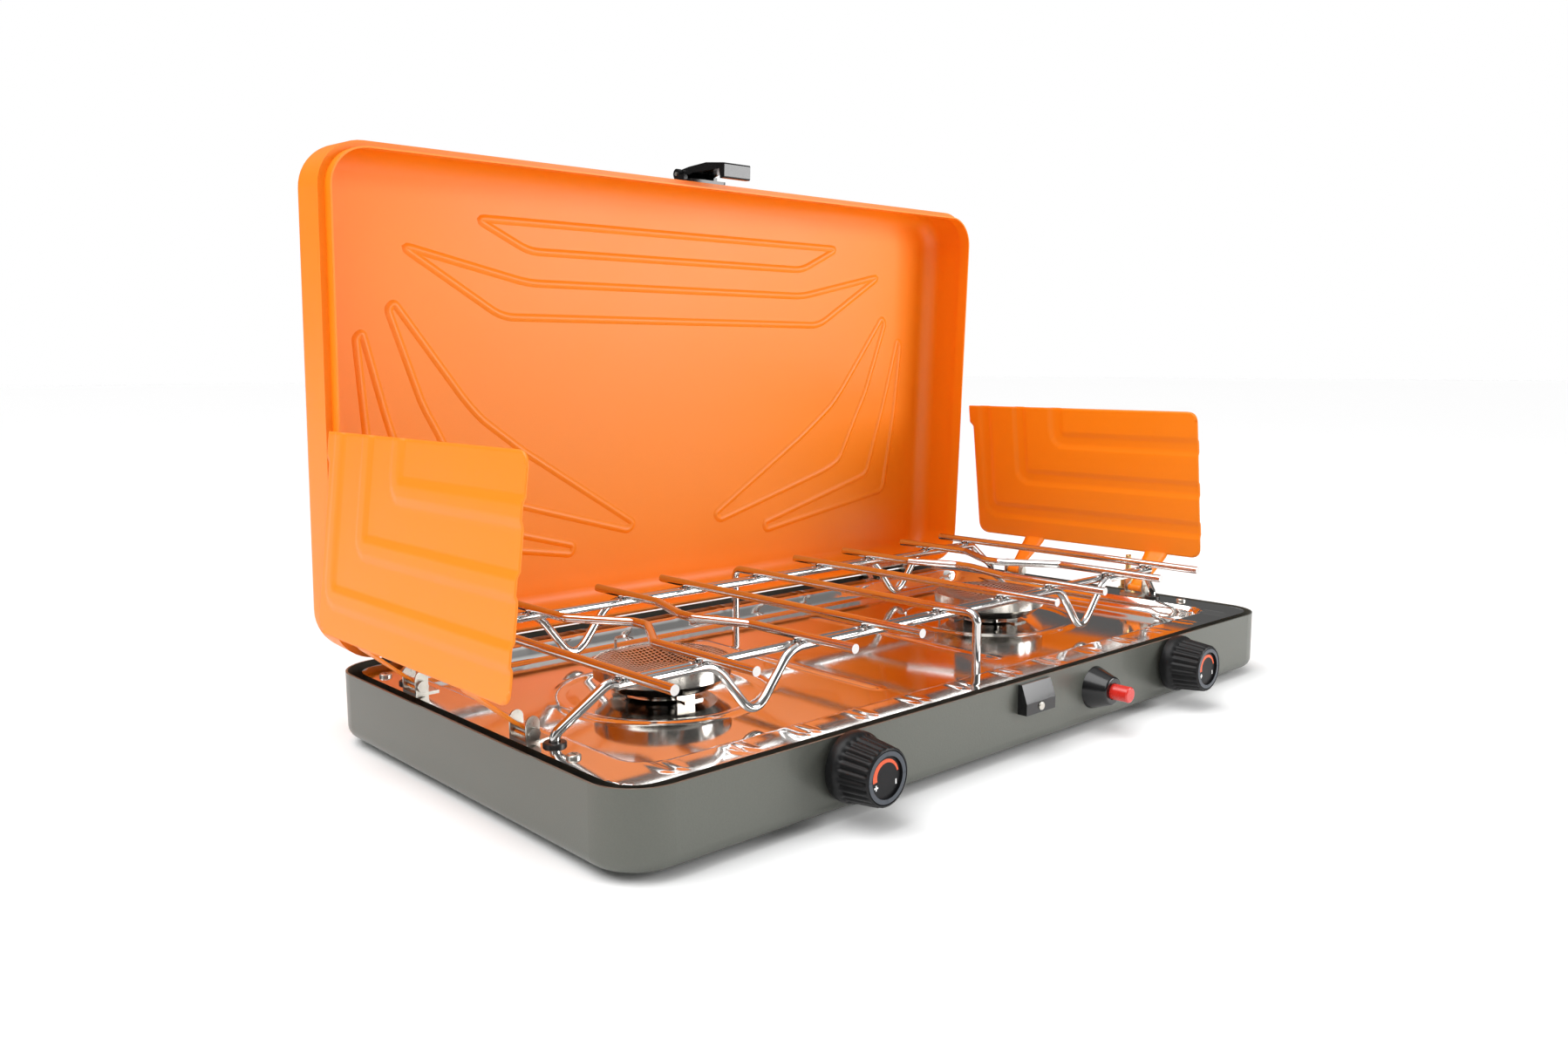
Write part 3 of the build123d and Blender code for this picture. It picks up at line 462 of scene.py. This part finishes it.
def pan_height(x, y):
    """The height of the pan's sheet: flange, slope, floor, and the ribs pressed into them."""
    half = np.array([TROUGH_X, TROUGH_Y]) - TROUGH_CORNER
    q = np.abs(np.stack([x, y], 1)) - half
    outside = np.linalg.norm(np.maximum(q, 0), axis=1) + np.minimum(q.max(1), 0)
    inset = TROUGH_CORNER - outside
    z = RIM - (RIM - FLOOR) * smooth(inset / SLOPE + 0.03)
    border = smooth((inset + 17) / 3) * smooth((6 - inset) / 4) * (np.abs(y) > 100)
    for c in np.arange(-234, 235, FLANGE_RIB_STEP):
        for k in (-3.5, 3.5):
            z += ridge(x - c - k, FLANGE_RIB, 2.0) * border
    for s in SIDES:
        r = np.hypot(x - s * BURNER_X, y - BURNER_Y)
        z += ridge(r - 58, 1.0, 2.6)
        z += ridge(r - 22, 0.9, 3.0)
        for k in (-92, 92):
            z += ridge(x - s * BURNER_X - k, 0.9, 2.4) * smooth((84 - np.abs(y)) / 10)
    return z


def drip_pan():
    outline = rounded([(-PAN_X, PAN_FRONT), (PAN_X, PAN_FRONT), (PAN_X, PAN_BACK), (-PAN_X, PAN_BACK)],
                      PAN_CORNER, steps=10)
    holes = [circle(s * BURNER_X, BURNER_Y, BURNER_HOLE, 32) for s in SIDES]
    holes += [circle(s * BURNER_X, BURNER_Y + ELECTRODE_BACK, ELECTRODE_HOLE) for s in SIDES]
    holes += [circle(s * LEG_X, y, LEG_HOLE) for s in SIDES for y in LEG_Y]
    holes += [circle(s * SCREW_X, y, SCREW_HOLE, 12) for s in SIDES for y in SCREW_Y]
    pts, tris = sheet_faces(outline, holes, PAN_STEP)
    x, y = pts[:, 0], pts[:, 1]
    verts = [(a * MM, b * MM, c * MM) for a, b, c in zip(x, y, pan_height(x, y))]
    faces = list(tris)
    count = len(divided(outline, PAN_STEP))
    above = list(range(count))
    for drop in LIP_DROPS:
        below = [len(verts) + i for i in range(count)]
        verts += [(x[i] * MM, y[i] * MM, (RIM - drop) * MM) for i in range(count)]
        for i in range(count):
            j = (i + 1) % count
            faces.append((above[i], below[i], below[j], above[j]))
        above = below
    pan = mesh_piece("drip_pan_sheet", verts, faces, "polished_steel", "stove_base",
                     sharp=35)
    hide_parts("drip_pan")


drip_pan()


# ---------------------------------------------------------------- grate stays: wire bent with easy curves

WIRE_RADIUS = 2.5
V_REACH, V_DROP = 25, 1.8    # half of a V's width, and how far its curve's corner is below the wire's box


def stay_wire(place):
    low, high = [np.array(c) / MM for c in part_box(f"grate_{place}_stay")]
    line_y, top = (low[1] + high[1]) / 2, high[2] - WIRE_RADIUS
    route = [(low[0], line_y, top)]
    for centre in (-BURNER_X, BURNER_X):
        route += [(centre - V_REACH, line_y, top), (centre, line_y, low[2] - V_DROP),
                  (centre + V_REACH, line_y, top)]
    route.append((high[0], line_y, top))
    line = rounded(route, [0, 9, 14, 9, 9, 14, 9, 0], False, 10)
    curve = bpy.data.curves.new(f"grate_{place}_stay_wire", "CURVE")
    curve.dimensions = "3D"
    curve.bevel_depth, curve.bevel_resolution = WIRE_RADIUS * MM, 5
    curve.use_fill_caps = True
    spline = curve.splines.new("POLY")
    spline.points.add(len(line) - 1)
    for point, q in zip(spline.points, line):
        point.co = (*(q * MM), 1)
    spline.use_smooth = True
    stay = bpy.data.objects.new(f"grate_{place}_stay_wire", curve)
    scene.collection.objects.link(stay)
    curve.materials.append(MATS["wire_chrome"])
    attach(stay, "grate")
    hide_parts(f"grate_{place}_stay")


stay_wire("front")
stay_wire("back")


# ---------------------------------------------------------------- knobs and dials

AROUND, FLUTES, FLUTE_DEPTH = 240, 24, 0.85
PRINT_DEPTH = 0.25    # how far a dial mark's sides go back into the dial


def arc(r0, r1, a0, a1, n=40):
    """A band's outline: its outer edge, then back along its inner one; each radius is (start, end)."""
    t = np.linspace(math.radians(a0), math.radians(a1), n)
    inner = [(r * math.cos(a), r * math.sin(a)) for r, a in zip(np.linspace(*r0, n), t)]
    outer = [(r * math.cos(a), r * math.sin(a)) for r, a in zip(np.linspace(*r1, n), t)]
    return outer + inner[::-1]


def bar(left, low, right, high):
    return [(left, low), (right, low), (right, high), (left, high)]


RING = [arc((10.1, 10.1), (12.25, 12.25), a, a + 91, 24) for a in (0, 90, 180, 270)]
WEDGE = arc((5.6, 7.6), (8.4, 8.6), 190, 12)
PLUS_LEVEL, PLUS_UPRIGHT = bar(-7.6, -4.2, -5.0, -3.4), bar(-6.7, -5.1, -5.9, -2.5)
MINUS = bar(6.4, -4.6, 7.2, -2.2)
# Piece, shapes, distance behind the dial's foremost face, material.
DIAL_MARKS = (("dial_ring", RING, -0.04, "ring_grey"), ("dial_wedge", [WEDGE], 1.15, "mark_red"),
              ("dial_signs", [PLUS_LEVEL, MINUS], 1.12, "mark_white"),
              ("dial_plus_bar", [PLUS_UPRIGHT], 1.10, "mark_white"))


def knob_profile(reach):
    """(distance from the knob's back, radius) from the bore round the skirt to the dial's seat."""
    return [(4, 0), (4, 13.4), (0, 13.5), (0, 16.4), (0.5, 17.0), (2.5, 17.2), (4.6, 17.2), (5.8, 16.9),
            (6.8, 16.3), (7.6, 15.9), (9, 15.7), (12, 15.4), (16, 15.0), (reach - 3, 14.4),
            (reach - 1.4, 14.2), (reach - 0.6, 13.8), (reach - 0.1, 13.1), (reach, 12.8),
            (reach - 0.4, 12.5), (reach - 1.6, 12.42)]


def knob(word):
    low, high = [np.array(c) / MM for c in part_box(f"{word}_knob")]
    cx, cz, back, front = (low[0] + high[0]) / 2, (low[2] + high[2]) / 2, high[1], low[1]
    reach = back - front
    profile = knob_profile(reach)
    verts, faces = [], []
    for depth, r in profile:
        flute = smooth((depth - 6.4) / 1.4) * smooth((reach - 0.5 - depth) / 1.2) * (r > 13)
        for k in range(AROUND):
            a = 2 * math.pi * k / AROUND
            groove = FLUTE_DEPTH * flute * (0.5 + 0.5 * math.cos(FLUTES * a)) ** 1.5
            verts.append(((cx + (r - groove) * math.cos(a)) * MM, (back - depth) * MM,
                          (cz + (r - groove) * math.sin(a)) * MM))
    for i in range(len(profile) - 1):
        here, there = i * AROUND, (i + 1) * AROUND
        for k in range(AROUND):
            j = (k + 1) % AROUND
            faces.append((here + k, here + j, there + j, there + k))
    body = f"{word}_knob_turn"
    piece = mesh_piece(f"{word}_fluted_knob", verts, faces, "knob_plastic", body, sharp=35)
    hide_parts(f"{word}_knob")

    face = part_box(f"{word}_knob_dial")[0][1] / MM
    for mark, shapes, behind, kind in DIAL_MARKS:
        verts, faces = [], []
        for shape in shapes:
            base, n = len(verts), len(shape)
            for y in (face + behind, face + behind + PRINT_DEPTH):
                verts += [((cx + u) * MM, y * MM, (cz + v) * MM) for u, v in shape]
            faces.append(tuple(range(base, base + n)))
            faces += [(base + k, base + (k + 1) % n, base + n + (k + 1) % n, base + n + k) for k in range(n)]
        mesh_piece(f"{word}_{mark}", verts, faces, kind, body, sharp=30)


knob("left")
knob("right")

# ---------------------------------------------------------------- stage, light, camera

bpy.ops.mesh.primitive_plane_add(size=30, location=(0, 0, 0))
floor = bpy.context.object
floor.name = "studio_floor"
floor.data.materials.append(material("floor_look", (0.97, 0.97, 0.97), rough=0.8, spread=0.05, grain=40,
                                     bump=0.02, shade=0.0))

# What reflections see of the room, from straight down to straight up.
ROOM_GREYS = ((0.0, 0.9), (0.5, 0.28), (0.57, 0.1), (0.85, 0.24), (0.97, 0.9))


def studio_world():
    """White where the camera looks past the object, and a darker room in reflections."""
    world = bpy.data.worlds.new("studio")
    world.use_nodes = True
    nodes, links = world.node_tree.nodes, world.node_tree.links
    backing = nodes["Background"]
    backing.inputs["Color"].default_value = (1, 1, 1, 1)
    room = nodes.new("ShaderNodeBackground")
    room.inputs["Strength"].default_value = 1.0
    direction = nodes.new("ShaderNodeTexCoord")
    split = nodes.new("ShaderNodeSeparateXYZ")
    links.new(direction.outputs["Generated"], split.inputs[0])
    height = nodes.new("ShaderNodeMath")
    height.operation = "MULTIPLY_ADD"
    height.inputs[1].default_value = 0.5
    height.inputs[2].default_value = 0.5
    links.new(split.outputs["Z"], height.inputs[0])
    tone = nodes.new("ShaderNodeValToRGB")
    while len(tone.color_ramp.elements) < len(ROOM_GREYS):
        tone.color_ramp.elements.new(0.5)
    for stop, (at, grey) in zip(tone.color_ramp.elements, ROOM_GREYS):
        stop.position, stop.color = at, (grey, grey, grey, 1)
    links.new(height.outputs[0], tone.inputs["Fac"])
    links.new(tone.outputs["Color"], room.inputs["Color"])
    ray = nodes.new("ShaderNodeLightPath")
    either = nodes.new("ShaderNodeMixShader")
    links.new(ray.outputs["Is Camera Ray"], either.inputs[0])
    links.new(room.outputs[0], either.inputs[1])
    links.new(backing.outputs[0], either.inputs[2])
    links.new(either.outputs[0], nodes["World Output"].inputs["Surface"])
    return world


scene.world = studio_world()


def softbox(name, position, target, size, energy):
    light = bpy.data.lights.new(name, "AREA")
    light.shape = "RECTANGLE"
    light.size, light.size_y = size
    light.energy = energy
    obj = bpy.data.objects.new(name, light)
    scene.collection.objects.link(obj)
    obj.location = position
    obj.rotation_euler = (Vector(target) - Vector(position)).to_track_quat("-Z", "Y").to_euler()


softbox("key", (-1.2, -0.9, 1.2), (0, 0, 0.08), (0.9, 0.7), 5)
softbox("front", (0.95, -1.25, 0.55), (0, 0.17, 0.16), (0.8, 0.6), 15)
softbox("side", (-1.6, 0.1, 0.5), (-0.27, 0.1, 0.1), (0.5, 0.7), 1.5)
sun = bpy.data.objects.new("broad", bpy.data.lights.new("broad", "SUN"))
sun.data.energy, sun.data.angle = 2.35, math.radians(55)
sun.rotation_euler = Vector((0.5, -0.2, -1)).to_track_quat("-Z", "Y").to_euler()
scene.collection.objects.link(sun)

CAMERA_PLACE = (-0.5325, -0.5274, 0.2125)
HEADING, PITCH, ROLL = math.radians(42.4), math.radians(7.5), math.radians(-0.2)
LENS, SENSOR_WIDTH = 27.71, 36


def studio_camera():
    data = bpy.data.cameras.new("view")
    data.lens, data.sensor_width, data.sensor_fit = LENS, SENSOR_WIDTH, "HORIZONTAL"
    data.clip_start = 0.01
    ahead = Vector((math.sin(HEADING) * math.cos(PITCH), math.cos(HEADING) * math.cos(PITCH),
                    -math.sin(PITCH)))
    right = Vector((math.cos(HEADING), -math.sin(HEADING), 0))
    up = right.cross(ahead)
    right, up = (right * math.cos(ROLL) + up * math.sin(ROLL),
                 up * math.cos(ROLL) - right * math.sin(ROLL))
    turn = Matrix((right, up, -ahead)).transposed()
    camera = bpy.data.objects.new("view", data)
    scene.collection.objects.link(camera)
    camera.matrix_world = Matrix.Translation(CAMERA_PLACE) @ turn.to_4x4()
    return camera


scene.camera = studio_camera()
scene.view_settings.view_transform = "Standard"
